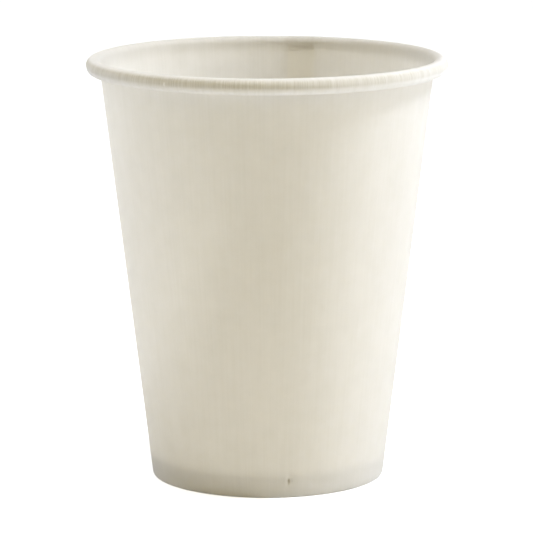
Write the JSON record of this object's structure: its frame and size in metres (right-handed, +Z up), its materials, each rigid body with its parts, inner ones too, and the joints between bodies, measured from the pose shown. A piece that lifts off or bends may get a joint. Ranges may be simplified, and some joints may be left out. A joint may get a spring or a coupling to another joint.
{
  "type": "paper cup",
  "caption": "Tapered paper drinking cup with a rolled rim, a lapped side seam and a base disc recessed into a folded foot.",
  "frame": {"origin": "middle of the foot, on the plane the cup stands on", "axes": "+Z up through the middle of the cup to its rim; the side seam's inner edge lies 82.5 degrees from +X towards +Y"},
  "size_m": [0.09, 0.09, 0.1056],
  "materials": {
    "wall_board": "matt calendered board",
    "base_board": "matt board with a thin sealing film"
  },
  "bodies": {
    "root": {"side_wall": "wall_board", "base_disc": "base_board"}
  },
  "joints": []
}
